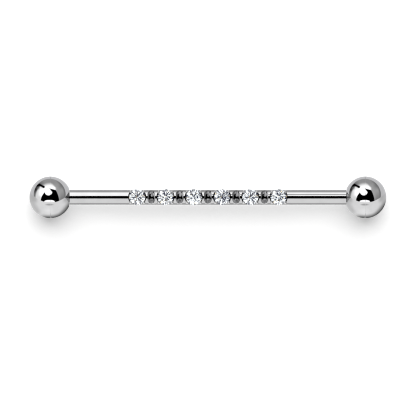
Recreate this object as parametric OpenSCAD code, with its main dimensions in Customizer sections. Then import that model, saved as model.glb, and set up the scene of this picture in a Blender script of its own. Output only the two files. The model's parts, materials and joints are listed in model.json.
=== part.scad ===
// Straight barbell for two piercings through the rim of an ear.
// A polished shank carries six round clear stones in a row along one side, each in
// a sunk round seat with a standing collar and four bead-tipped prongs. A ball
// screws onto the plain post at each end. The barbell lies along X on its two
// balls, with the stones facing up, as their lighter side makes it come to rest.
// All sizes are in millimetres.

/* [Shank] */
// Diameter of the plain shank
shank_d = 1.77; // [1.5:0.01:2]
// Length of the shank between its two shoulders
shank_len = 33.2; // [26:0.1:44]
// How much thicker the jewelled middle is than the plain ends, on the radius
middle_swell = 0.02; // [0.01:0.01:0.06]
// Diameter of the post that a ball screws onto
post_d = 1.2; // [0.9:0.05:1.4]
// Length of the post beyond the shoulder
post_len = 3; // [2:0.1:3.8]
// Chamfer at the tip of the post
post_chamfer = 0.15; // [0.05:0.01:0.3]

/* [Ball ends] */
// Diameter of each ball
ball_d = 5; // [4.6:0.1:8]
// How much wider the flat on a ball is than the shank, on the radius
flat_margin = 0.2; // [0.02:0.01:0.3]
// Gap between a ball's flat and the shank's shoulder
shoulder_gap = 0.04; // [0.02:0.01:0.1]
// Clearance round a post in the hole of its ball, on the radius
post_clearance = 0.04; // [0.02:0.01:0.09]
// How much deeper the hole is than the post reaches
hole_spare = 0.3; // [0.1:0.05:0.6]
// Width of the chamfer at the mouth of the hole
mouth_chamfer = 0.12; // [0.05:0.01:0.2]

/* [Stones] */
// Diameter of each round stone
stone_d = 1.92; // [1.7:0.01:2.1]
// Distance from one stone's middle to the next
stone_pitch = 3.39; // [3.2:0.01:3.9]
// Diameter of a stone's table, corner to corner
table_d = 1.1; // [0.8:0.01:1.3]
// Height of the crown above the girdle
crown_h = 0.29; // [0.2:0.01:0.4]
// Depth of the pavilion below the girdle
pavilion_h = 0.82; // [0.6:0.01:0.95]
// Thickness of the girdle
girdle_t = 0.04; // [0.02:0.01:0.08]
// Height of the girdle's middle above the shank's axis
girdle_height = 0.55; // [0.45:0.01:0.7]
// Angle by which each stone is turned on its own axis past the one on its left
stone_twist = 11; // [0:1:22]

/* [Setting] */
// Diameter of the round seat sunk round each stone
seat_d = 2.18; // [2.1:0.01:2.3]
// How far the seat's ledge lies below the girdle
ledge_drop = 0.05; // [0.03:0.01:0.15]
// Clearance between a stone and the metal that holds it
stone_clearance = 0.025; // [0.01:0.005:0.05]
// Width of the collar left standing round a seat
collar_w = 0.16; // [0.12:0.01:0.35]
// Depth of the groove scooped between two collars
groove_depth = 0.2; // [0.1:0.01:0.35]
// Radius of the scoop across the groove
groove_r = 0.8; // [0.4:0.01:1]
// Angle round the shank, from the stones' side, at which the groove runs out
groove_end = 70; // [60:1:88]

/* [Prongs] */
// Distance of a prong from its stone's middle, along the shank
prong_along = 0.8; // [0.76:0.01:0.86]
// Distance of a prong from its stone's middle, across the shank
prong_across = 0.68; // [0.64:0.01:0.7]
// Diameter of a prong's stem
prong_d = 0.3; // [0.24:0.01:0.32]
// Diameter of the bead at a prong's tip
bead_d = 0.36; // [0.34:0.01:0.4]
// How far a bead's middle lies above the top of the girdle
bead_rise = 0.08; // [0.04:0.01:0.12]
// Height above the shank's axis at which a stem starts, inside the metal
stem_foot = 0.1; // [0:0.01:0.2]

/* [Hidden] */
$fn = 96;

stone_count = 6;
shank_r = shank_d / 2;
crest_r = shank_r + middle_swell;
post_r = post_d / 2;
stone_r = stone_d / 2;
table_r = table_d / 2;
seat_r = seat_d / 2;
girdle_top = girdle_height + girdle_t / 2;
girdle_low = girdle_height - girdle_t / 2;
table_height = girdle_top + crown_h;
culet_height = girdle_low - pavilion_h;
ledge_height = girdle_low - ledge_drop;

// The collar round a seat reaches at least as far out as its prongs do
prong_reach = norm([prong_along, prong_across]) + bead_d / 2;
collar_r = max(seat_r + collar_w, prong_reach);
middle_half = stone_x(stone_count) + collar_r;

// The flat cut on a ball, and where that puts the ball's middle along the shank
flat_r = shank_r + flat_margin;
flat_from_middle = sqrt(pow(ball_d / 2, 2) - flat_r * flat_r);
ball_x = shank_len / 2 + shoulder_gap + flat_from_middle;
hole_r = post_r + post_clearance;
hole_depth = post_len - shoulder_gap + hole_spare;

// The groove's floor is an arc whose middle lies behind the shank's axis, so the
// groove is deepest on the stones' side and runs out towards both edges
floor_height = crest_r - groove_depth;
floor_back = (crest_r * crest_r - floor_height * floor_height)
    / (2 * (floor_height - crest_r * cos(groove_end)));
floor_r = floor_height + floor_back;

// How far cutting tools run past what they cut
over = 1;

// Colours
steel = [0.76, 0.77, 0.79];
clear_stone = [0.88, 0.93, 0.98];

// Place of a stone's middle along the shank, counted from the left
function stone_x(i) = (i - (stone_count + 1) / 2) * stone_pitch;

// A point at a height, at a distance and an angle round a stone's axis
function round_point(r, angle, height) = [r * cos(angle), r * sin(angle), height];

// Lifts what is drawn round the shank's axis to where the two balls hold it
module lying() {
    translate([0, 0, ball_d / 2]) children();
}

// Turns what is drawn along Z so that it lies along X
module along_x() {
    rotate([0, 90, 0]) children();
}

// The turned rod: plain ends, a middle that swells by a hair, shoulders and posts
module turned_rod() {
    half = shank_len / 2;
    tip = half + post_len;
    along_x() rotate_extrude() polygon([
        [0, -tip], [post_r - post_chamfer, -tip], [post_r, post_chamfer - tip], [post_r, -half],
        [shank_r, -half], [shank_r, -middle_half], [crest_r, 0], [shank_r, middle_half],
        [shank_r, half], [post_r, half], [post_r, tip - post_chamfer],
        [post_r - post_chamfer, tip], [0, tip]
    ]);
}

// The space that a stone takes up in the metal, with its clearance
module stone_space() {
    wide = stone_r + stone_clearance;
    rotate_extrude() polygon([
        [0, culet_height - 2 * stone_clearance],
        [wide, girdle_low - stone_clearance],
        [wide, girdle_top + stone_clearance],
        [table_r + stone_clearance, table_height + stone_clearance],
        [0, table_height + stone_clearance]
    ]);
}

// The round seat sunk in the shank down to its ledge, and the cone below it
module seat_cut() {
    translate([0, 0, ledge_height]) cylinder(r = seat_r, h = over);
    stone_space();
}

// The groove between two stones, clear of the collars round their seats
module groove_cut() {
    difference() {
        translate([0, 0, -floor_back]) along_x() rotate_extrude()
            translate([floor_r + groove_r, 0]) circle(r = groove_r);
        for (side = [-1, 1])
            translate([side * stone_pitch / 2, 0, -over])
                cylinder(r = collar_r, h = crest_r + 2 * over);
    }
}

// The four prongs at one stone, notched for its girdle
module prongs() {
    bead_height = girdle_top + bead_rise;
    difference() {
        for (side = [-1, 1], end = [-1, 1])
            translate([end * prong_along, side * prong_across, 0]) {
                translate([0, 0, stem_foot]) cylinder(d = prong_d, h = bead_height - stem_foot);
                translate([0, 0, bead_height]) sphere(d = bead_d);
            }
        stone_space();
    }
}

module bar() {
    color(steel) lying() {
        difference() {
            turned_rod();
            for (i = [1 : stone_count]) translate([stone_x(i), 0, 0]) seat_cut();
            for (i = [1 : stone_count - 1])
                translate([stone_x(i) + stone_pitch / 2, 0, 0]) groove_cut();
        }
        for (i = [1 : stone_count]) translate([stone_x(i), 0, 0]) prongs();
    }
}

// One ball, with its flat and its blind hole facing the middle of the shank
module ball(side) {
    color(steel) translate([side * ball_x, 0, ball_d / 2]) rotate([0, -90 * side, 0])
        difference() {
            sphere(d = ball_d);
            translate([0, 0, flat_from_middle]) cylinder(d = ball_d, h = over);
            translate([0, 0, flat_from_middle - hole_depth])
                cylinder(r = hole_r, h = hole_depth + over);
            translate([0, 0, flat_from_middle - mouth_chamfer])
                cylinder(r1 = hole_r, r2 = hole_r + 2 * mouth_chamfer, h = 2 * mouth_chamfer);
        }
}

module ball_left() { ball(-1); }
module ball_right() { ball(1); }

// One round brilliant: a table, 8 stars, 8 kites and 16 upper facets on the crown,
// a girdle of 16 sides, then 16 lower facets and 8 mains down to the culet
module stone(i) {
    sides = 8;
    step = 360 / sides;
    star_share = 0.5;
    lower_share = 0.24;
    star_r = table_r * cos(step / 2) * (1 - star_share) + stone_r * star_share;
    star_height = girdle_top
        + crown_h * (stone_r - star_r * cos(step / 2)) / (stone_r - table_r);
    lower_r = stone_r * lower_share;
    lower_height = girdle_low - pavilion_h * (1 - lower_share * cos(step / 2));
    points = [
        for (k = [0 : sides - 1]) round_point(table_r, step * k, table_height),
        for (k = [0 : sides - 1]) round_point(star_r, step * (k + 0.5), star_height),
        for (k = [0 : 2 * sides - 1]) round_point(stone_r, step / 2 * k, girdle_top),
        for (k = [0 : 2 * sides - 1]) round_point(stone_r, step / 2 * k, girdle_low),
        for (k = [0 : sides - 1]) round_point(lower_r, step * (k + 0.5), lower_height),
        [0, 0, culet_height]
    ];
    function table(k) = (k + sides) % sides;
    function star(k) = sides + (k + sides) % sides;
    function upper(k) = 2 * sides + k % (2 * sides);
    function lower(k) = 4 * sides + k % (2 * sides);
    function low_star(k) = 6 * sides + (k + sides) % sides;
    culet = 7 * sides;
    faces = concat(
        [[for (k = [sides - 1 : -1 : 0]) table(k)]],
        [for (k = [0 : sides - 1]) [table(k), table(k + 1), star(k)]],
        [for (k = [0 : sides - 1]) [table(k), star(k), upper(2 * k), star(k - 1)]],
        [for (k = [0 : sides - 1], j = [0, 1])
            [star(k), upper(2 * k + j + 1), upper(2 * k + j)]],
        [for (k = [0 : 2 * sides - 1]) [upper(k), upper(k + 1), lower(k + 1), lower(k)]],
        [for (k = [0 : sides - 1], j = [0, 1])
            [low_star(k), lower(2 * k + j), lower(2 * k + j + 1)]],
        [for (k = [0 : sides - 1]) [lower(2 * k), low_star(k), culet, low_star(k - 1)]]
    );
    color(clear_stone) lying() translate([stone_x(i), 0, 0]) rotate([0, 0, (i - 1) * stone_twist])
        polyhedron(points = points, faces = faces);
}

bar();
ball_left();
ball_right();
stone(1);  // stone_1
stone(2);  // stone_2
stone(3);  // stone_3
stone(4);  // stone_4
stone(5);  // stone_5
stone(6);  // stone_6
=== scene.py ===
"""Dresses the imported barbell: polished steel, clear stones, and the studio that it lies in."""

import json
import math

import bmesh
import bpy
from bpy.props import FloatProperty, FloatVectorProperty, IntProperty, PointerProperty
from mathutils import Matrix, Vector


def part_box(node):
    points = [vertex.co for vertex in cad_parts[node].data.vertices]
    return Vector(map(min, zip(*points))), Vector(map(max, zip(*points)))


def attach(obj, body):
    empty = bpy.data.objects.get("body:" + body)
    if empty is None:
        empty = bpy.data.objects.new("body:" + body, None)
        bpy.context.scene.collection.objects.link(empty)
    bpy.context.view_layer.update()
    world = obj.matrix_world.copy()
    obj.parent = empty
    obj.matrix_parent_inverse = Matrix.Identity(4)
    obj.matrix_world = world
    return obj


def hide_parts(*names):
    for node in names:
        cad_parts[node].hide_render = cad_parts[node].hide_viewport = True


bl_info = {
    "name": "Industrial barbell",
    "version": (1, 0, 0),
    "blender": (4, 5, 0),
    "location": "3D View > Sidebar > Barbell",
    "description": "Polished barbell with six set stones, lying in a plain studio",
    "category": "Add Mesh",
}

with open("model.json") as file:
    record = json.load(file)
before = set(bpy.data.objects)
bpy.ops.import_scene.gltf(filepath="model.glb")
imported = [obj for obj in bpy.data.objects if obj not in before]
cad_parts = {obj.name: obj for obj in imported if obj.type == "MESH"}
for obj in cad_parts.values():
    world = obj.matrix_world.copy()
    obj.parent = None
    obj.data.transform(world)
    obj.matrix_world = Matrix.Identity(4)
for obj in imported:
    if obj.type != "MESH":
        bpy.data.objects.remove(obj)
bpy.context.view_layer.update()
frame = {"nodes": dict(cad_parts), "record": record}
MM = 0.001

# Faces that meet at more than this angle keep a sharp edge between them
SHARP = math.radians(25)

# Places taken from the frame: the balls, the plain stretch of shank, the stones
BALL_LOW, BALL_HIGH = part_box("ball_right")
AXIS_HEIGHT = (BALL_LOW.z + BALL_HIGH.z) / 2
BALL_RADIUS = (BALL_HIGH.z - BALL_LOW.z) / 2
BALL_MIDDLE = BALL_HIGH.x - BALL_RADIUS
BAR_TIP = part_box("bar")[1].x
PLAIN = next(m for m in frame["record"]["mounts"] if m["name"] == "wear_right")
PLAIN_HALF = PLAIN["dims"]["length_mm"] * MM / 2
PLAIN_START = PLAIN["pos_m"][0] - PLAIN_HALF
PLAIN_END = PLAIN["pos_m"][0] + PLAIN_HALF
STONE_NODES = sorted(name for name in frame["nodes"] if name.startswith("stone_"))
STONE_BOXES = [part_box(name) for name in STONE_NODES]
STONE_PLACES = [(low.x + high.x) / 2 for low, high in STONE_BOXES]


def length(name, text, default):
    """A size in metres that a user may change."""
    return FloatProperty(name=name, description=text, default=default, unit="LENGTH", precision=6)


def share(name, text, default):
    """A plain number that a user may change."""
    return FloatProperty(name=name, description=text, default=default, precision=3)


def colour(name, text, default):
    """A colour that a user may change."""
    return FloatVectorProperty(name=name, description=text, default=default, subtype="COLOR", size=3)


class BARBELL_PG_bar(bpy.types.PropertyGroup):
    """Sizes of the turned bar."""

    radius: length("Shank radius", "Radius of the plain shank", PLAIN["dims"]["r_mm"] * MM)
    swell: length("Swell", "How much thicker the jewelled middle is", 0.02 * MM)
    middle: length("Middle", "Half the length of the jewelled middle", PLAIN_START)
    shoulder: length("Shoulder", "Distance of a shoulder from the middle", PLAIN_END)
    tip: length("Tip", "Distance of a post's tip from the middle", BAR_TIP)
    post_radius: length("Post radius", "Radius over a post's thread", 0.6 * MM)
    thread_pitch: length("Thread pitch", "Distance from one turn of thread to the next", 0.25 * MM)
    thread_depth: length("Thread depth", "Depth of the thread", 0.08 * MM)
    chamfer: length("Tip chamfer", "Chamfer at the tip of a post", 0.15 * MM)
    edge: length("Edge", "Width of the broken edge at a shoulder", 0.02 * MM)


class BARBELL_PG_setting(bpy.types.PropertyGroup):
    """Sizes of the seats, grooves and prongs. Heights are above the shank's axis."""

    seat_radius: length("Seat radius", "Radius of the sunk seat round a stone", 1.09 * MM)
    ledge: length("Ledge height", "Height of the ledge in a seat", 0.48 * MM)
    clearance: length("Stone clearance", "Clearance between a stone and the metal", 0.025 * MM)
    collar: length("Collar width", "Width of the collar left round a seat", 0.16 * MM)
    groove_depth: length("Groove depth", "Depth of the groove between two collars", 0.2 * MM)
    groove_radius: length("Groove radius", "Radius of the scoop across a groove", 0.8 * MM)
    groove_end: FloatProperty(
        name="Groove end",
        description="Angle round the shank at which a groove runs out",
        default=math.radians(70),
        subtype="ANGLE",
    )
    prong_along: length("Prong along", "Distance of a prong from its stone, along X", 0.8 * MM)
    prong_across: length("Prong across", "Distance of a prong from its stone, along Y", 0.68 * MM)
    prong_radius: length("Prong radius", "Radius of a prong's stem", 0.15 * MM)
    prong_foot: length("Prong foot", "Height at which a stem starts, inside the metal", 0.1 * MM)
    bead_radius: length("Bead radius", "Radius of the bead at a prong's tip", 0.18 * MM)
    bead_height: length("Bead height", "Height of a bead's middle", 0.65 * MM)
    girdle_low: length("Girdle foot", "Height of the lower edge of a stone's girdle", 0.53 * MM)
    girdle_top: length("Girdle top", "Height of the upper edge of a stone's girdle", 0.57 * MM)
    table_radius: length("Table radius", "Radius of a stone's table", 0.55 * MM)


class BARBELL_PG_balls(bpy.types.PropertyGroup):
    """Sizes of the screw-on balls."""

    radius: length("Ball radius", "Radius of a ball", BALL_RADIUS)
    place: length("Ball place", "Distance of a ball from the middle", BALL_MIDDLE)
    flat: length("Flat", "Distance of a ball's flat from the ball's middle", BALL_MIDDLE - BALL_LOW.x)
    hole_radius: length("Hole radius", "Radius of the hole for the post", 0.64 * MM)
    hole_depth: length("Hole depth", "Depth of the hole for the post", 3.26 * MM)
    mouth: length("Mouth chamfer", "Chamfer at the mouth of the hole", 0.12 * MM)
    edge: length("Edge", "Width of the broken edge round the flat", 0.03 * MM)


class BARBELL_PG_finish(bpy.types.PropertyGroup):
    """Colours and gloss of the steel and the stones."""

    steel: colour("Steel", "Colour of the polished steel", (0.62, 0.62, 0.625))
    polish: share("Polish", "Roughness of the polished steel", 0.02)
    # Dark colour of the milled grooves and seat walls: partly the rougher cut steel, partly painted shade
    # for the recesses between the stones
    cut_steel_and_groove_shade: colour("Cut steel", "Colour of the milled grooves", (0.19, 0.19, 0.195))
    cut_polish: share("Cut polish", "Roughness of the milled grooves", 0.1)
    seat_steel: colour("Seat steel", "Colour of the burnished cones under stones", (0.75, 0.76, 0.78))
    seat_polish: share("Seat polish", "Roughness of the burnished cones under stones", 0.08)
    # Dark colour of the threads and seating faces: partly unpolished steel, partly painted shade for the
    # gap where a ball meets the bar
    bare_steel_and_gap_shade: colour("Bare steel", "Colour of the threads and seating faces", (0.2, 0.2, 0.205))
    bare_polish: share("Bare polish", "Roughness of the threads and seating faces", 0.3)
    stone: colour("Stone", "Tint of the clear stones", (0.97, 0.985, 1.0))
    stone_ior: share("Stone index", "Refractive index of the stones", 2.15)


class BARBELL_PG_studio(bpy.types.PropertyGroup):
    """The camera, the lights and the floor."""

    picture: IntProperty(name="Picture", description="Width of the picture in pixels", default=416)
    scale: share("Scale", "Pixels of the picture for each millimetre", 8.34)
    middle_x: share("Middle across", "Pixel across at which the barbell's middle lies", 207.9)
    middle_y: share("Middle down", "Pixel down at which the barbell's axis lies", 197.3)
    lens: FloatProperty(name="Lens", description="Focal length in mm", default=1500, unit="CAMERA")
    elevation: FloatProperty(
        name="Elevation",
        description="Angle of the camera above the floor",
        default=math.radians(87.5),
        subtype="ANGLE",
    )
    key_lean: FloatProperty(
        name="Key lean",
        description="Angle of the soft light from straight above, towards +Y",
        default=math.radians(45),
        subtype="ANGLE",
    )
    key_size: length("Key size", "Width of the soft light", 0.54)
    key_distance: length("Key distance", "Distance of the soft light", 0.3)
    key_power: FloatProperty(
        name="Key power",
        description="Power of the soft light",
        default=1.95,
        unit="POWER",
    )
    fill: share("Fill", "Brightness of the light from all round", 0.14)
    glow: share("Glow", "Brightness of the floor by itself, as a lit table has", 0.45)
    floor_size: length("Floor size", "Width of the floor", 3.0)
    floor: colour("Floor", "Colour of the floor", (0.8, 0.8, 0.8))


class Wire:
    """A socket of a node tree. Python's operators on it add Math nodes."""

    def __init__(self, tree, socket):
        self.tree = tree
        self.socket = socket

    def __add__(self, other):
        return self.tree.math("ADD", self, other)

    def __sub__(self, other):
        return self.tree.math("SUBTRACT", self, other)

    def __rsub__(self, other):
        return self.tree.math("SUBTRACT", other, self)

    def __mul__(self, other):
        return self.tree.math("MULTIPLY", self, other)

    def __truediv__(self, other):
        return self.tree.math("DIVIDE", self, other)

    def __neg__(self):
        return self.tree.math("MULTIPLY", self, -1.0)

    __radd__ = __add__
    __rmul__ = __mul__

    def out(self, name):
        """Another output of the same node."""
        return Wire(self.tree, self.socket.node.outputs[name])


class Tree:
    """A node tree with one way to add a node."""

    def __init__(self, nodes):
        self.nodes = nodes

    def add(self, kind, settings=None, inputs=None, output=0):
        """Adds a node, with its settings first, and then values or links for its sockets."""
        node = self.nodes.nodes.new(kind)
        for name, value in (settings or {}).items():
            setattr(node, name, value)
        self.feed(node, inputs or {})
        return Wire(self, node.outputs[output]) if node.outputs else node

    def feed(self, node, inputs):
        """Sets or links a node's sockets. A list gives one socket many links."""
        for name, value in inputs.items():
            for one in value if isinstance(value, list) else [value]:
                if isinstance(one, Wire):
                    self.nodes.links.new(one.socket, node.inputs[name])
                else:
                    node.inputs[name].default_value = one

    def math(self, operation, a, b=0.0):
        """One Math node."""
        return self.add("ShaderNodeMath", {"operation": operation}, {0: a, 1: b})

    def vector(self, operation, a, b=(0.0, 0.0, 0.0), output="Vector"):
        """One Vector Math node."""
        return self.add("ShaderNodeVectorMath", {"operation": operation}, {0: a, 1: b}, output)

    def xyz(self, x=0.0, y=0.0, z=0.0):
        """A vector from three values."""
        return self.add("ShaderNodeCombineXYZ", None, {0: x, 1: y, 2: z})

    def rise(self, value, start, end, low=0.0, high=1.0):
        """Goes smoothly from low to high as value goes from start to end."""
        return self.add(
            "ShaderNodeMapRange",
            {"interpolation_type": "SMOOTHSTEP"},
            {"Value": value, "From Min": start, "From Max": end, "To Min": low, "To Max": high},
        )

    def reach(self, across, along, middle=(0.0, 0.0)):
        """Distance of a point from a middle."""
        across, along = across - middle[0], along - middle[1]
        return self.math("SQRT", across * across + along * along)


def turned(name, profile, segments, bare=0):
    """A closed solid turned about X from a list of (place along X, radius).

    The first stretches of the outline, as many as bare says, take the second material: on the balls the
    bare steel, darkened with painted shade for the gap at the bar.
    """
    mesh = bmesh.new()
    angles = [2 * math.pi * k / segments for k in range(segments)]
    spokes = [(math.sin(angle), math.cos(angle)) for angle in angles]
    rings = []
    for place, radius in profile:
        ring = [(radius * y, radius * z) for y, z in spokes] if radius else [(0, 0)]
        rings.append([mesh.verts.new((place, y, AXIS_HEIGHT + z)) for y, z in ring])
    for number, (one, other) in enumerate(zip(rings, rings[1:])):
        for k in range(segments):
            corners = [one[k % len(one)], one[(k + 1) % len(one)]]
            corners += [other[(k + 1) % len(other)], other[k % len(other)]]
            mesh.faces.new(dict.fromkeys(corners)).material_index = int(number < bare)
    bmesh.ops.recalc_face_normals(mesh, faces=mesh.faces)
    data = bpy.data.meshes.new(name)
    mesh.to_mesh(data)
    mesh.free()
    piece = bpy.data.objects.new(name, data)
    bpy.context.scene.collection.objects.link(piece)
    return piece


def stretch(start, end, step):
    """Points from start up to end, about a step apart, with the end left out."""
    run, climb = end[0] - start[0], end[1] - start[1]
    count = max(1, round(abs(run) / step))
    return [(start[0] + run * k / count, start[1] + climb * k / count) for k in range(count)]


def object_noise(tree, scale, detail=3.0, stretch_by=(1, 1, 1)):
    """Noise on the piece's own coordinates. The scale is in lumps to the metre."""
    place = tree.add("ShaderNodeTexCoord", output="Object")
    place = tree.vector("MULTIPLY", place, tuple(scale * s for s in stretch_by))
    return tree.add("ShaderNodeTexNoise", None, {"Vector": place, "Scale": 1.0, "Detail": detail})


def new_material(name):
    """A material with one Principled shader, as its tree and that shader's node."""
    material = bpy.data.materials.new(name)
    material.use_nodes = True
    shader = material.node_tree.nodes["Principled BSDF"]
    return material, Tree(material.node_tree), shader


def tinted(tree, mask, dark, light):
    """A colour between two, by a mask. Each is a wire or three numbers."""
    dark, light = (c if isinstance(c, Wire) else (*c, 1) for c in (dark, light))
    return tree.add(
        "ShaderNodeMix",
        {"data_type": "RGBA"},
        {"Factor": mask, "A": dark, "B": light},
        "Result",
    )


def steel_material(name, tone, roughness, contrast, cloud, marks, mark_height):
    """Steel with clouding and fine marks that run round the piece.

    The contrast says how much the colour changes. The clouding and the marks are each a
    scale in lumps to the metre, and how much they are stretched round the piece.
    """
    material, tree, shader = new_material(name)
    clouding = object_noise(tree, cloud[0], 3.0, (1, 1 / cloud[1], 1 / cloud[1]))
    scratches = object_noise(tree, marks[0], 4.0, (1, 1 / marks[1], 1 / marks[1]))
    dark = [c * (1 - contrast) for c in tone]
    light = [min(1.0, c * (1 + contrast)) for c in tone]
    sockets = {
        "Metallic": 1.0,
        "Base Color": tinted(tree, tree.rise(clouding, 0.3, 0.7), dark, light),
        "Roughness": roughness * (0.7 + 0.6 * clouding),
        "Normal": tree.add("ShaderNodeBump", None, {"Distance": mark_height, "Height": scratches}),
    }
    tree.feed(shader, sockets)
    return material


def polished_steel(name, finish):
    """Mirror-polished steel with the faintest clouding."""
    return steel_material(
        name,
        finish.steel,
        finish.polish,
        contrast=0.03,
        cloud=(900, 1),
        marks=(50000, 20),
        mark_height=0.008e-6,
    )


def bare_steel_and_gap_shade(name, finish):
    """Unpolished steel, as on the threads and where a ball seats, darkened with painted shade for the gap
    where a ball meets the bar.
    """
    return steel_material(
        name,
        finish.bare_steel_and_gap_shade,
        finish.bare_polish,
        contrast=0.3,
        cloud=(5000, 4),
        marks=(40000, 15),
        mark_height=0.5e-6,
    )


def milled_steel_with_groove_shade(finish):
    """Steel as the cutter leaves it, in the grooves and the seats, darkened with painted shade for these
    recesses.
    """
    return steel_material(
        "Milled steel",
        finish.cut_steel_and_groove_shade,
        finish.cut_polish,
        contrast=0.5,
        cloud=(9000, 6),
        marks=(30000, 12),
        mark_height=0.4e-6,
    )


def burnished_steel(finish):
    """The bright cone under a stone."""
    return steel_material(
        "Burnished seat",
        finish.seat_steel,
        finish.seat_polish,
        contrast=0.1,
        cloud=(4000, 1),
        marks=(20000, 1),
        mark_height=0.1e-6,
    )


def stone_material(finish):
    """Clear cut stone with the least hint of colour from place to place."""
    material, tree, shader = new_material("Clear stone")
    cloud = object_noise(tree, 1400, 1.0)
    clear = tuple(finish.stone)
    warm = (clear[0], clear[1] * 0.99, clear[2] * 0.93)
    sockets = {
        "Transmission Weight": 1.0,
        "Roughness": 0.0,
        "IOR": finish.stone_ior,
        "Base Color": tinted(tree, cloud, clear, warm),
    }
    tree.feed(shader, sockets)
    return material


def thread(piece, sizes):
    """Cuts the thread's turns into both posts of the turned bar, on their round faces only."""
    round_face = sizes.post_radius * 0.99
    for vertex in piece.data.vertices:
        place = vertex.co
        beyond = abs(place.x) - sizes.shoulder
        arm = Vector((0, place.y, place.z - AXIS_HEIGHT))
        if beyond <= sizes.edge or arm.length < round_face:
            continue
        turn = beyond / sizes.thread_pitch - math.atan2(arm.y, arm.z) / (2 * math.pi)
        depth = sizes.thread_depth * (0.5 + 0.5 * math.cos(2 * math.pi * turn))
        arm *= 1 - depth / arm.length
        vertex.co = Vector((place.x, arm.y, AXIS_HEIGHT + arm.z))


def bar_profile(sizes):
    """Half of the bar's outline, from its middle to the tip of a post, and its mirror image."""
    shank_step = 0.5 * MM
    thread_step = sizes.thread_pitch / 8
    crest = (0, sizes.radius + sizes.swell)
    middle_end = (sizes.middle, sizes.radius)
    shank_end = (sizes.shoulder - sizes.edge, sizes.radius)
    post_start = (sizes.shoulder, sizes.post_radius)
    post_end = (sizes.tip - sizes.chamfer, sizes.post_radius)
    half = stretch(crest, middle_end, shank_step)
    half += stretch(middle_end, shank_end, shank_step)
    half += [shank_end, (sizes.shoulder, sizes.radius - sizes.edge)]
    half += stretch(post_start, post_end, thread_step)
    half += [post_end, (sizes.tip, sizes.post_radius - sizes.chamfer), (sizes.tip, 0)]
    return [(-place, radius) for place, radius in reversed(half[1:])] + half


def setting_inputs(bar, setting):
    """The named sizes of the setting's tree. Heights are above the shank's axis."""
    hair = 0.01 * MM
    crest = bar.radius + bar.swell
    floor = crest - setting.groove_depth
    back = (crest**2 - floor**2) / (2 * (floor - crest * math.cos(setting.groove_end)))
    table = max(high.z for _, high in STONE_BOXES) - AXIS_HEIGHT
    culet = min(low.z for low, _ in STONE_BOXES) - AXIS_HEIGHT
    wide = max(high.y - low.y for low, high in STONE_BOXES) / 2 + setting.clearance
    return {
        "Axis Height": AXIS_HEIGHT,
        "First Stone": min(STONE_PLACES),
        "Stone Pitch": (max(STONE_PLACES) - min(STONE_PLACES)) / (len(STONE_PLACES) - 1),
        "Seat Radius": setting.seat_radius,
        "Ledge Height": setting.ledge,
        "Space Foot": culet - 2 * setting.clearance,
        "Space Radius": wide,
        "Girdle Foot": setting.girdle_low - setting.clearance,
        "Girdle Top": setting.girdle_top + setting.clearance,
        "Table Radius": setting.table_radius + setting.clearance,
        "Table Height": table + setting.clearance,
        "Groove Ring": floor + back + setting.groove_radius,
        "Groove Back": back,
        "Groove Radius": setting.groove_radius,
        "Collar Radius": setting.seat_radius + setting.collar,
        "Prong Along": setting.prong_along,
        "Prong Across": setting.prong_across,
        "Prong Radius": setting.prong_radius,
        "Prong Foot": setting.prong_foot,
        "Bead Radius": setting.bead_radius,
        "Bead Height": setting.bead_height,
        "Cut Limit": bar.radius - hair,
        "Shoulder": bar.shoulder - 0.75 * bar.edge,
    }


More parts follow.
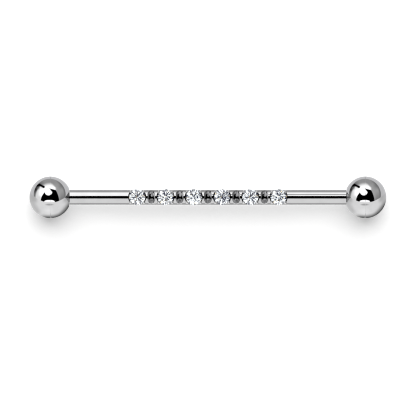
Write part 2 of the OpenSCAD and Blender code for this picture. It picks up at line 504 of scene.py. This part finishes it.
class SettingTree(Tree):
    """Geometry Nodes that cut the seats and grooves into a turned bar and grow the prongs."""

    REACH = 1.5 * MM
    SIDES = 128
    RING_SIDES = 192
    SCOOP_SIDES = 64
    PRONG_SIDES = 32

    def __init__(self, sizes):
        super().__init__(bpy.data.node_groups.new("Seats, grooves and prongs", "GeometryNodeTree"))
        face = self.nodes.interface
        face.new_socket("Geometry", in_out="OUTPUT", socket_type="NodeSocketGeometry")
        face.new_socket("Geometry", in_out="INPUT", socket_type="NodeSocketGeometry")
        face.new_socket("Stone Count", in_out="INPUT", socket_type="NodeSocketInt")
        for name in sizes:
            face.new_socket(name, in_out="INPUT", socket_type="NodeSocketFloat")
        # The Cut and Bare finishes are darkened with painted shade
        for name in ("Polished", "Cut", "Seat", "Bare"):
            face.new_socket(name, in_out="INPUT", socket_type="NodeSocketMaterial")
        self.given = self.add("NodeGroupInput")

    def size(self, name):
        """One of the tree's named inputs."""
        return self.given.out(name)

    def moved(self, geometry, place, turn=(0.0, 0.0, 0.0)):
        """A solid or curve moved to a place, and turned where a turn is given."""
        sockets = {"Geometry": geometry, "Translation": place, "Rotation": turn}
        return self.add("GeometryNodeTransform", None, sockets)

    def circle(self, radius, sides):
        """A round curve about the upright axis."""
        return self.add("GeometryNodeCurvePrimitiveCircle", None, {"Resolution": sides, "Radius": radius})

    def post(self, radius, foot, top, sides=SIDES):
        """An upright cylinder from foot to top."""
        sockets = {"Vertices": sides, "Radius": radius, "Depth": top - foot}
        rod = self.add("GeometryNodeMeshCylinder", None, sockets)
        return self.moved(rod, self.xyz(z=(foot + top) * 0.5))

    def cone(self, foot, top, foot_radius, top_radius):
        """An upright cone from foot to top."""
        sockets = {
            "Vertices": self.SIDES,
            "Radius Bottom": foot_radius,
            "Radius Top": top_radius,
            "Depth": top - foot,
        }
        return self.moved(self.add("GeometryNodeMeshCone", None, sockets), self.xyz(z=foot))

    def combined(self, operation, first, others):
        """The first solid with the others cut from it or joined to it."""
        inputs = {"Mesh 2": [first, *others] if operation == "UNION" else others}
        if operation == "DIFFERENCE":
            inputs["Mesh 1"] = first
        return self.add("GeometryNodeMeshBoolean", {"operation": operation, "solver": "MANIFOLD"}, inputs)

    def row(self, instance, count, first):
        """Copies of a solid in a row along the shank."""
        spots = self.add(
            "GeometryNodeMeshLine",
            None,
            {
                "Count": count,
                "Start Location": self.xyz(first, 0.0, self.size("Axis Height")),
                "Offset": self.xyz(self.size("Stone Pitch")),
            },
        )
        return self.copies(instance, spots)

    def copies(self, instance, spots):
        """Copies of a solid, one at each spot, as real geometry."""
        many = self.add("GeometryNodeInstanceOnPoints", None, {"Points": spots, "Instance": instance})
        return self.add("GeometryNodeRealizeInstances", None, {"Geometry": many})

    def stone_space(self):
        """The space of one stone, as a pavilion cone, a girdle and a crown cone."""
        hair = 0.002 * MM
        foot, top = self.size("Girdle Foot"), self.size("Girdle Top")
        wide = self.size("Space Radius")
        return [
            self.cone(self.size("Space Foot"), foot, 0.0, wide),
            self.post(wide, foot - hair, top + hair),
            self.cone(top, self.size("Table Height"), wide, self.size("Table Radius")),
        ]

    def groove(self):
        """The scoop between two seats: a ring round the shank, clear of both collars."""
        ring = self.circle(self.size("Groove Ring"), self.RING_SIDES)
        round_bar = self.moved(ring, self.xyz(z=-self.size("Groove Back")), (0.0, math.pi / 2, 0.0))
        scoop = self.circle(self.size("Groove Radius"), self.SCOOP_SIDES)
        tool = self.add("GeometryNodeCurveToMesh", None, {"Curve": round_bar, "Profile Curve": scoop})
        half = self.size("Stone Pitch") * 0.5
        collar = self.post(self.size("Collar Radius"), -self.REACH, self.REACH)
        collars = [self.moved(collar, self.xyz(side)) for side in (half, -half)]
        return self.combined("DIFFERENCE", tool, collars)

    def prongs(self):
        """Four bead-tipped prongs round one stone, notched for its girdle."""
        top = self.size("Bead Height")
        stem = self.post(self.size("Prong Radius"), self.size("Prong Foot"), top, self.PRONG_SIDES)
        bead = self.add(
            "GeometryNodeMeshUVSphere",
            None,
            {
                "Segments": self.PRONG_SIDES,
                "Rings": self.PRONG_SIDES // 2,
                "Radius": self.size("Bead Radius"),
            },
        )
        corners = self.add(
            "GeometryNodeMeshGrid",
            None,
            {
                "Size X": self.size("Prong Along") * 2.0,
                "Size Y": self.size("Prong Across") * 2.0,
                "Vertices X": 2,
                "Vertices Y": 2,
            },
        )
        stems = self.copies(stem, corners)
        beads = self.copies(self.moved(bead, self.xyz(z=top)), corners)
        return self.combined("DIFFERENCE", self.combined("UNION", stems, [beads]), self.stone_space())

    def compared(self, operation, a, b):
        """True where the comparison holds."""
        return self.add("FunctionNodeCompare", {"operation": operation}, {"A": a, "B": b})

    def both(self, one, other):
        """True where both are."""
        return self.add("FunctionNodeBooleanMath", {"operation": "AND"}, {0: one, 1: other})

    def painted(self, solid, finish, chosen=True):
        """The solid with one finish on the faces that are chosen."""
        sockets = {"Geometry": solid, "Selection": chosen, "Material": self.size(finish)}
        return self.add("GeometryNodeSetMaterial", None, sockets)

    def shaded(self, solid, domain, is_smooth, chosen=True):
        """The solid with smooth shading on or off for the faces or edges that are chosen."""
        sockets = {"Geometry": solid, "Selection": chosen, "Shade Smooth": is_smooth}
        return self.add("GeometryNodeSetShadeSmooth", {"domain": domain}, sockets)

    def finished(self, solid):
        """Smooth faces with sharp edges kept, the finishes given, and the tree's end. The cut and bare
        finishes carry painted shade.
        """
        solid = self.add("GeometryNodeRealizeInstances", None, {"Geometry": solid})
        bend = self.add("GeometryNodeInputMeshEdgeAngle")
        sharp = self.compared("GREATER_THAN", bend, SHARP)
        solid = self.shaded(self.shaded(solid, "FACE", True), "EDGE", False, sharp)
        place = self.add("ShaderNodeSeparateXYZ", None, {0: self.add("GeometryNodeInputPosition")})
        along = self.math("ABSOLUTE", place.out("X"))
        arm = self.reach(place.out("Y"), place.out("Z") - self.size("Axis Height"))
        row_end = self.size("Seat Radius") - self.size("First Stone") + self.REACH
        # Faces cut below the shank's skin take the milled steel, whose dark colour is painted shade for
        # the grooves and seats
        below_skin = self.compared("LESS_THAN", arm, self.size("Cut Limit"))
        milled = self.both(below_skin, self.compared("LESS_THAN", along, row_end))
        steps = (place.out("X") - self.size("First Stone")) / self.size("Stone Pitch")
        aside = (steps - self.math("ROUND", steps)) * self.size("Stone Pitch")
        from_stone = self.reach(aside, place.out("Y"))
        under = self.both(milled, self.compared("LESS_THAN", from_stone, self.size("Space Radius")))
        # Faces past a shoulder take the bare steel, whose dark colour is painted shade for the gap at the
        # balls
        bare = self.compared("GREATER_THAN", along, self.size("Shoulder"))
        solid = self.painted(solid, "Polished")
        for name, chosen in (("Cut", milled), ("Seat", under), ("Bare", bare)):
            solid = self.painted(solid, name, chosen)
        self.add("NodeGroupOutput", None, {"Geometry": solid})

    def build(self):
        """The whole tree."""
        first, count = self.size("First Stone"), self.size("Stone Count")
        seat = self.post(self.size("Seat Radius"), self.size("Ledge Height"), self.REACH)
        pavilion = self.stone_space()[0]
        seats = [self.row(tool, count, first) for tool in (seat, pavilion)]
        grooves = self.row(self.groove(), count - 1, first + self.size("Stone Pitch") * 0.5)
        milled = self.combined("DIFFERENCE", self.size("Geometry"), [*seats, grooves])
        self.finished(self.combined("UNION", milled, [self.row(self.prongs(), count, first)]))
        return self.nodes


def run_tree(piece, group, values):
    """Runs a Geometry Nodes tree on a piece and keeps its result as the piece's plain mesh."""
    modifier = piece.modifiers.new("Setting", "NODES")
    modifier.node_group = group
    for item in group.interface.items_tree:
        if item.in_out == "INPUT" and item.name in values:
            modifier[item.identifier] = values[item.name]
    bpy.context.view_layer.update()
    done = piece.evaluated_get(bpy.context.evaluated_depsgraph_get())
    result = bpy.data.meshes.new_from_object(done)
    piece.modifiers.remove(modifier)
    piece.data = result


class BARBELL_OT_bar(bpy.types.Operator):
    """Turns the bar, threads its posts, mills its seats and grooves and grows its prongs"""

    bl_idname = "barbell.bar"
    bl_label = "Make the bar"

    SIDES = 192
    FEWEST_FACES = 1000

    def execute(self, context):
        scene = context.scene
        sizes, finish = scene.barbell_bar, scene.barbell_finish
        piece = turned("bar_body", bar_profile(sizes), self.SIDES)
        thread(piece, sizes)
        given = setting_inputs(sizes, scene.barbell_setting)
        # The milled and bare steels are darkened with painted shade, for the grooves and for the gap at
        # the balls
        finishes = {
            "Polished": polished_steel("Polished bar steel", finish),
            "Cut": milled_steel_with_groove_shade(finish),
            "Seat": burnished_steel(finish),
            "Bare": bare_steel_and_gap_shade("Bare bar steel", finish),
        }
        values = {**given, **finishes, "Stone Count": len(STONE_NODES)}
        run_tree(piece, SettingTree(given).build(), values)
        if len(piece.data.polygons) < self.FEWEST_FACES:
            raise RuntimeError("the bar's setting came out empty")
        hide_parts("bar")
        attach(piece, "bar")
        return {"FINISHED"}


def ball_profile(sizes, side, steps):
    """The outline of a ball from the bottom of its hole, round its flat, to its far pole."""
    flat, radius = sizes.flat, sizes.radius
    flat_radius = math.sqrt(radius**2 - flat**2)
    start = math.asin(flat_radius / radius) + sizes.edge / radius
    arc = [start + (math.pi - start) * k / steps for k in range(steps)]
    outline = [(flat - sizes.hole_depth, 0), (flat - sizes.hole_depth, sizes.hole_radius)]
    outline += [(flat - sizes.mouth, sizes.hole_radius), (flat, sizes.hole_radius + sizes.mouth)]
    outline += [(flat, flat_radius - sizes.edge)]
    outline += [(radius * math.cos(a), radius * math.sin(a)) for a in arc]
    outline += [(-radius, 0)]
    return [(side * (sizes.place - place), reach) for place, reach in outline]


class BARBELL_OT_balls(bpy.types.Operator):
    """Turns the two balls with their flats and holes"""

    bl_idname = "barbell.balls"
    bl_label = "Make the balls"

    SIDES = 160
    ARC_STEPS = 72

    # The hole's bottom, wall and mouth, the flat and its broken edge, in bare steel darkened with painted
    # shade for the gap at the bar
    BARE_AND_GAP_SHADE_STRETCHES = 5

    def execute(self, context):
        sizes, finish = context.scene.barbell_balls, context.scene.barbell_finish
        # The second steel is darkened with painted shade for the gap at the bar
        steels = polished_steel("Polished ball steel", finish), bare_steel_and_gap_shade("Bare ball steel", finish)
        for node, side in (("ball_left", -1), ("ball_right", 1)):
            profile = ball_profile(sizes, side, self.ARC_STEPS)
            piece = turned(f"{node}_body", profile, self.SIDES, self.BARE_AND_GAP_SHADE_STRETCHES)
            piece.data.shade_smooth()
            piece.data.set_sharp_from_angle(angle=SHARP)
            for steel in steels:
                piece.data.materials.append(steel)
            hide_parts(node)
            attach(piece, node)
        return {"FINISHED"}


class BARBELL_OT_stones(bpy.types.Operator):
    """Gives the cut stones their clear material"""

    bl_idname = "barbell.stones"
    bl_label = "Finish the stones"

    def execute(self, context):
        material = stone_material(context.scene.barbell_finish)
        for name in STONE_NODES:
            for slot in frame["nodes"][name].material_slots:
                slot.material = material
        return {"FINISHED"}


def seen(grey):
    """The brightness that polished steel shows as a display's grey of 0 to 255."""
    steel_reflectance = 0.62
    display_light = ((grey / 255 + 0.055) / 1.055) ** 2.4
    return display_light / steel_reflectance


def over(under, brightness, mask):
    """A brightness laid over another where the mask is 1."""
    return under + mask * (brightness - under)


class Sky(Tree):
    """What the polished steel mirrors, painted in the coordinates of a mirror ball.

    Across and up run from -1 to 1 over a ball that is seen from the camera. Each part of the
    picture is a soft shape: the white boxes of light, the dark gap above the camera, the grey
    walls and the pale table. The round bar shows one thin column of it, painted by itself.
    """

    WHITE = 1.8

    # Half the width of a crisp edge's change
    CRISP = 0.012

    # Where the bar's column ends on either side, and where it is whole
    COLUMN_END, COLUMN_WHOLE = 0.0105, 0.0092

    def __init__(self, world, towards, right, up):
        super().__init__(world.node_tree)
        self.way = self.add("ShaderNodeTexCoord", output="Generated")
        middle = self.vector("NORMALIZE", self.vector("ADD", self.way, tuple(towards)))
        self.across = self.vector("DOT_PRODUCT", middle, tuple(right), "Value")
        self.up = self.vector("DOT_PRODUCT", middle, tuple(up), "Value")
        self.sideways = self.vector("DOT_PRODUCT", self.way, tuple(right), "Value")
        self.outer = self.reach(self.across, self.up)
        self.horizon = self.reach(self.across, self.up, (-0.028, 0.12)) / 0.764
        self.table_edge = 0.5 * self.across * self.across - 0.26
        self.ray = self.add("ShaderNodeLightPath")
        self.depth = self.ray.out("Ray Depth")

    def inside(self, distance):
        """1 on the positive side of an outline, with a crisp edge."""
        return self.rise(distance, -self.CRISP, self.CRISP)

    def disc(self, middle, radius, soft, squash=1.0):
        """1 inside a round or squashed spot."""
        across, up = self.across - middle[0], (self.up - middle[1]) * squash
        return self.rise(self.reach(across, up), radius + soft, radius - soft)

    def stroke(self, start, end, width):
        """1 along a thin straight line."""
        way = Vector(end) - Vector(start)
        along, unit = way.length, way.normalized()
        across, up = self.across - start[0], self.up - start[1]
        ahead = across * unit.x + up * unit.y
        ahead = self.math("MINIMUM", self.math("MAXIMUM", ahead, 0.0), along)
        aside = self.reach(across - ahead * unit.x, up - ahead * unit.y)
        return self.rise(aside, width * 1.5, width * 0.5)

    def table(self):
        """The pale table in front, which darkens towards the foot of the ball."""
        value = over(seen(213), seen(229), self.disc((-0.08, -0.66), 0.15, 0.22, 1.3))
        aside = self.rise(self.math("ABSOLUTE", self.across), 0.35, 0.65)
        value = over(value, seen(184), self.rise(self.outer, 0.66, 0.9) * aside)
        near_edge = self.rise(self.outer, 0.55, 0.75) * aside * self.rise(self.up, -0.35, -0.1)
        value = over(value, seen(176), near_edge)
        value = over(value, seen(165), self.disc((-0.04, -0.35), 0.18, 0.09, 4.0))
        lean = self.across * 0.45 - self.up * 0.89
        return over(value, seen(72), self.rise(self.outer, 0.78, 1.0) * self.rise(lean, 0.45, 0.8))

    def room(self):
        """The white box overhead with the grey walls round it."""
        across, up, horizon = self.across, self.up, self.horizon
        left = self.rise(across, -0.36, -0.5) * self.rise(up, 0.66, 0.5)
        edge = self.math("MINIMUM", 0.1 + 0.9 * (0.65 - up), 0.27)
        value = over(self.WHITE, seen(160), self.rise(across - edge, -0.07, 0.05))
        value = over(value, seen(214), self.rise(across, -0.42, -0.66))
        value = over(value, seen(214), self.rise(across, -0.4, -0.5) * self.rise(up, 0.15, -0.02))
        wall = over(seen(124), seen(152), self.rise(up, -0.1, 0.35))
        wall = over(wall, seen(143), self.rise(up, 0.5, 0.72))
        value = over(value, wall, self.rise(horizon, 0.49, 0.82) * (1 - left))
        value = over(value, seen(96), self.disc((-0.46, 0.66), 0.06, 0.17))
        value = over(value, seen(100), self.disc((0.53, 0.55), 0.05, 0.19))
        value = over(value, seen(112), self.rise(horizon, 0.84, 0.98) * self.rise(across, 0.2, 0.5))
        shade = over(seen(182), seen(115), self.rise(up, -0.1, 0.1))
        shade = over(shade, seen(28), self.rise(up, 0.1, 0.42))
        begin = 0.87 - 0.2 * up
        value = over(value, shade, self.rise(horizon - begin, -0.03, 0.08) * left)
        value = over(value, seen(110), self.disc((-0.57, 0.45), 0.05, 0.11))
        hook = ((-0.62, 0.56), (-0.52, 0.6), (-0.32, 0.5))
        for start, end in zip(hook, hook[1:]):
            value = over(value, 0.0, self.stroke(start, end, 0.055))
        value = over(value, 0.0, self.disc((-0.32, 0.495), 0.055, 0.015))
        return over(value, seen(185), self.rise(horizon, 0.985, 1.02))

    def gap(self):
        """The dark gap between the boxes: an arch with a round bite at its top left."""
        across, up = self.across, self.up
        rise = up + 0.163
        left = across - (1.15 * rise * rise - 0.459)
        drop = up + 0.149
        right = 0.43 - 0.09 * drop - 0.47 * drop * drop - across
        top = 0.42 - 0.27 * across - up
        arch = self.inside(left) * self.inside(right) * self.inside(top)
        arch = arch * self.inside(up - self.table_edge)
        line = 0.1 - 0.75 * (up - 0.23)
        high = self.rise(up, 0.24, 0.28)
        over_bite = self.inside(line - across) * high
        beside_line = self.inside(across - line) * high
        bite = self.disc((-0.085, 0.272), 0.18, self.CRISP) * (1 - beside_line)
        return arch * (1 - bite) * (1 - over_bite)

    def box_below(self):
        """The small white box under the arch."""
        across = self.math("ABSOLUTE", (self.across + 0.037) / 0.262)
        up = self.math("ABSOLUTE", (self.up + 0.262) / 0.13)
        inside = self.math("POWER", across, 2.8) + self.math("POWER", up, 2.8)
        return self.rise(inside, 1.12, 0.88)

    def on_balls(self):
        """The whole picture that a ball mirrors."""
        above = self.rise(self.up - self.table_edge, -0.02, 0.02)
        value = over(self.table(), self.room(), above)
        value = over(value, 0.0, self.gap())
        lit = over(seen(212), self.WHITE, self.rise(self.up, -0.3, -0.14))
        return over(value, lit, self.box_below() * above)

    def on_bar(self):
        """The stripes along the round bar, from its upper edge to its lower one."""
        up = self.up
        value = over(seen(150), seen(248), self.rise(up, 0.75, 0.57))
        hair = self.rise(self.math("ABSOLUTE", up - 0.38), 0.1, 0.03)
        value = over(value, seen(150), hair * self.rise(self.sideways, 0.0, 0.002))
        value = over(value, 0.0, self.rise(up, 0.215, 0.175))
        value = over(value, seen(206), self.rise(up, -0.15, -0.2))
        value = over(value, seen(155), self.rise(up, -0.74, -0.8))
        return over(value, seen(180), self.rise(up, 0.95, 0.985))

    def picture(self):
        """What polished steel mirrors from any side. What it mirrors of other steel is dark."""
        sideways = self.math("ABSOLUTE", self.sideways)
        column = self.rise(sideways, self.COLUMN_END, self.COLUMN_WHOLE)
        value = over(self.on_balls(), self.on_bar(), column)
        twice = self.rise(self.depth, 2.0, 3.0) * self.rise(sideways, 0.5, 0.8)
        dim = self.rise(self.math("ABSOLUTE", self.up - 0.02), 0.03, 0.14, 0.12, 0.5)
        value = over(value, value * dim, twice)
        bluer = 1 + 0.02 * self.rise(self.horizon, 0.98, 1.02) * self.rise(self.up, -0.1, 0.2)
        return self.xyz(value, value, value * bluer)

    def through_stones(self):
        """What a cut stone gathers: white, with small navy patches and a few warm ones."""
        white, warm, navy = (1.4, 1.45, 1.5), (1.25, 1.0, 0.6), (0.005, 0.01, 0.05)
        patches = self.add("ShaderNodeTexNoise", None, {"Vector": self.way, "Scale": 4.0, "Detail": 2.0})
        warmth = self.add(
            "ShaderNodeTexNoise",
            {"noise_dimensions": "4D"},
            {"Vector": self.way, "Scale": 3.0, "W": 4.0},
        )
        pale = tinted(self, self.rise(warmth, 0.56, 0.6), white, warm)
        return tinted(self, self.rise(patches, 0.47, 0.5), navy, pale)


def make_camera(studio):
    """The camera, high above the stones, with the barbell where the picture has it."""
    lean = studio.elevation
    towards = Vector((0, -math.cos(lean), math.sin(lean)))
    right = Vector((1, 0, 0))
    up = towards.cross(right)
    metres = MM / studio.scale
    centre = studio.picture / 2
    aim = Vector((0, 0, AXIS_HEIGHT))
    aim += right * (centre - studio.middle_x) * metres - up * (centre - studio.middle_y) * metres
    data = bpy.data.cameras.new("Camera")
    data.lens = studio.lens
    data.clip_start = 0.01
    camera = bpy.data.objects.new("Camera", data)
    camera.location = aim + towards * (studio.picture * metres * data.lens / data.sensor_width)
    camera.rotation_mode = "QUATERNION"
    camera.rotation_quaternion = (-towards).to_track_quat("-Z", "Y")
    bpy.context.scene.collection.objects.link(camera)
    bpy.context.scene.camera = camera
    return towards, right, up


def make_floor(studio):
    """A plain pale floor with the faintest unevenness."""
    half = studio.floor_size / 2
    data = bpy.data.meshes.new("floor")
    corners = [(-half, -half, 0), (half, -half, 0), (half, half, 0), (-half, half, 0)]
    data.from_pydata(corners, [], [(0, 1, 2, 3)])
    floor = bpy.data.objects.new("floor", data)
    bpy.context.scene.collection.objects.link(floor)
    material, tree, shader = new_material("Pale floor")
    pale = tuple(studio.floor)
    duller = [c * 0.99 for c in pale]
    sockets = {
        "Roughness": 1.0,
        "Specular IOR Level": 0.0,
        "Emission Color": (1, 1, 1, 1),
        "Emission Strength": studio.glow,
        "Base Color": tinted(tree, object_noise(tree, 3000), duller, pale),
    }
    tree.feed(shader, sockets)
    data.materials.append(material)
    floor.visible_glossy = False
    floor.visible_transmission = False


def make_key(studio):
    """One large soft light above and behind, which the steel doesn't mirror."""
    data = bpy.data.lights.new("Soft light", "AREA")
    data.shape = "DISK"
    data.size = studio.key_size
    data.energy = studio.key_power
    key = bpy.data.objects.new("Soft light", data)
    way = Vector((0, math.sin(studio.key_lean), math.cos(studio.key_lean)))
    key.location = way * studio.key_distance
    key.rotation_mode = "QUATERNION"
    key.rotation_quaternion = (-way).to_track_quat("-Z", "Y")
    key.visible_glossy = False
    key.visible_transmission = False
    key.visible_camera = False
    bpy.context.scene.collection.objects.link(key)


def make_sky(studio, towards, right, up):
    """White behind everything, plain light on the floor, and the painted room in the mirrors."""
    world = bpy.data.worlds.new("Studio")
    world.use_nodes = True
    world.node_tree.nodes.clear()
    world.cycles.sampling_method = "NONE"
    bpy.context.scene.world = world
    sky = Sky(world, towards, right, up)
    colour = tinted(sky, sky.ray.out("Is Transmission Ray"), sky.picture(), sky.through_stones())
    colour = tinted(sky, sky.ray.out("Is Diffuse Ray"), colour, (studio.fill,) * 3)
    colour = tinted(sky, sky.ray.out("Is Camera Ray"), colour, (1.0, 1.0, 1.0))
    shine = sky.add("ShaderNodeBackground", None, {"Color": colour})
    sky.add("ShaderNodeOutputWorld", None, {"Surface": shine})


def set_bounces(cycles):
    """Enough bounces for the light inside a cut stone, and no bright specks on the floor."""
    bounces = 24
    for kind in ("max_bounces", "glossy_bounces", "transmission_bounces"):
        setattr(cycles, kind, bounces)
    cycles.filter_width = 1.15
    cycles.caustics_reflective = False
    cycles.caustics_refractive = False


class BARBELL_OT_studio(bpy.types.Operator):
    """Sets the camera, the floor and the lights"""

    bl_idname = "barbell.studio"
    bl_label = "Set the studio"

    def execute(self, context):
        studio = context.scene.barbell_studio
        context.scene.view_settings.view_transform = "Standard"
        set_bounces(context.scene.cycles)
        axes = make_camera(studio)
        make_floor(studio)
        make_key(studio)
        make_sky(studio, *axes)
        return {"FINISHED"}


GROUPS = {
    "barbell_bar": BARBELL_PG_bar,
    "barbell_setting": BARBELL_PG_setting,
    "barbell_balls": BARBELL_PG_balls,
    "barbell_finish": BARBELL_PG_finish,
    "barbell_studio": BARBELL_PG_studio,
}
OPERATORS = (BARBELL_OT_studio, BARBELL_OT_bar, BARBELL_OT_balls, BARBELL_OT_stones)


class BARBELL_PT_panel(bpy.types.Panel):
    """Lists the barbell's pieces and their sizes"""

    bl_idname = "BARBELL_PT_panel"
    bl_label = "Barbell"
    bl_space_type = "VIEW_3D"
    bl_region_type = "UI"
    bl_category = "Barbell"

    def draw(self, context):
        """A button for each operator, and a box for each group of values."""
        for operator in OPERATORS:
            self.layout.operator(operator.bl_idname)
        for name, group in GROUPS.items():
            box = self.layout.box()
            for value in group.__annotations__:
                box.prop(getattr(context.scene, name), value)


CLASSES = (*GROUPS.values(), *OPERATORS, BARBELL_PT_panel)


def register():
    """Makes the classes known to Blender, with a place in the scene for each group."""
    for one in CLASSES:
        bpy.utils.register_class(one)
    for name, group in GROUPS.items():
        setattr(bpy.types.Scene, name, PointerProperty(type=group))


def unregister():
    """Takes back what register did."""
    for name in GROUPS:
        delattr(bpy.types.Scene, name)
    for one in reversed(CLASSES):
        bpy.utils.unregister_class(one)


def main():
    """Makes the whole scene."""
    register()
    bpy.ops.barbell.studio()
    bpy.ops.barbell.bar()
    bpy.ops.barbell.balls()
    bpy.ops.barbell.stones()


if __name__ == "__main__":
    main()
